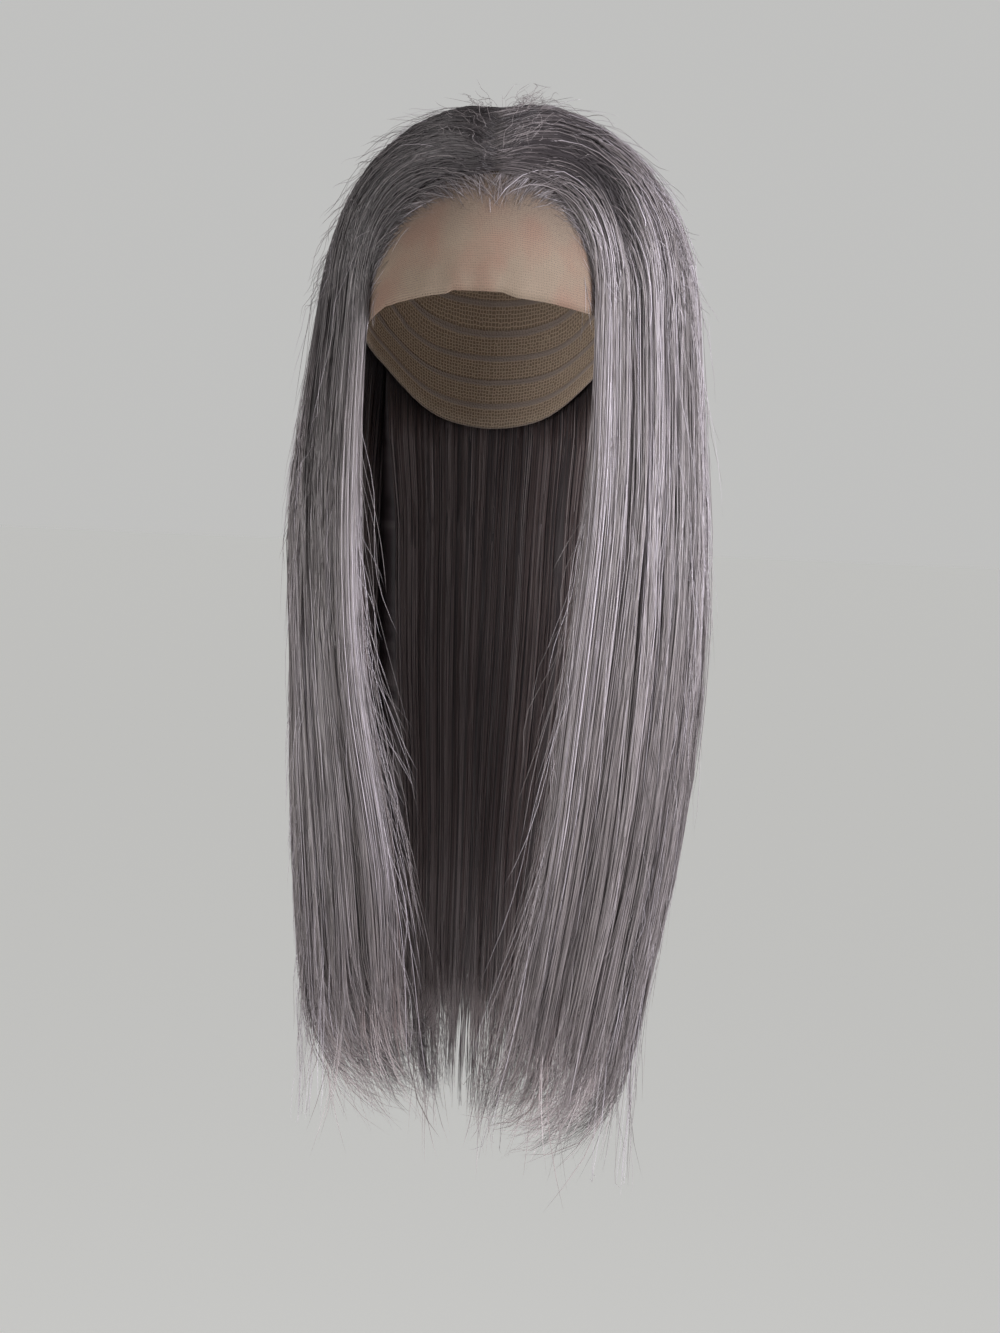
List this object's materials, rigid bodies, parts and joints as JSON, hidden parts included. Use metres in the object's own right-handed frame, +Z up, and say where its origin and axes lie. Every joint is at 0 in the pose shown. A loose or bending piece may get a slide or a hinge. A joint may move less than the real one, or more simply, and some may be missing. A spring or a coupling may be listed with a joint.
{
  "type": "lace front wig",
  "caption": "Long straight centre-parted wig with ends that curl in, on a stretch cap with a sheer lace panel at the forehead.",
  "frame": {"origin": "top of the cap's hollow, where it rests on the crown of a head", "axes": "+Z up along the hair's length, the face side and hairline towards -Y, the side seen right from the front towards +X"},
  "size_m": [0.231, 0.2247, 0.6155],
  "materials": {
    "hair": "silver lavender synthetic hair, silky",
    "lace": "sheer beige net, matt",
    "cap": "tan stretch net, matt"
  },
  "bodies": {
    "root": {"hair_front_left": "hair", "hair_side_left": "hair", "hair_back_left": "hair", "hair_front_right": "hair", "hair_side_right": "hair", "hair_back_right": "hair", "hair_nape": "hair", "lace_front": "lace", "wig_cap": "cap"}
  },
  "joints": []
}
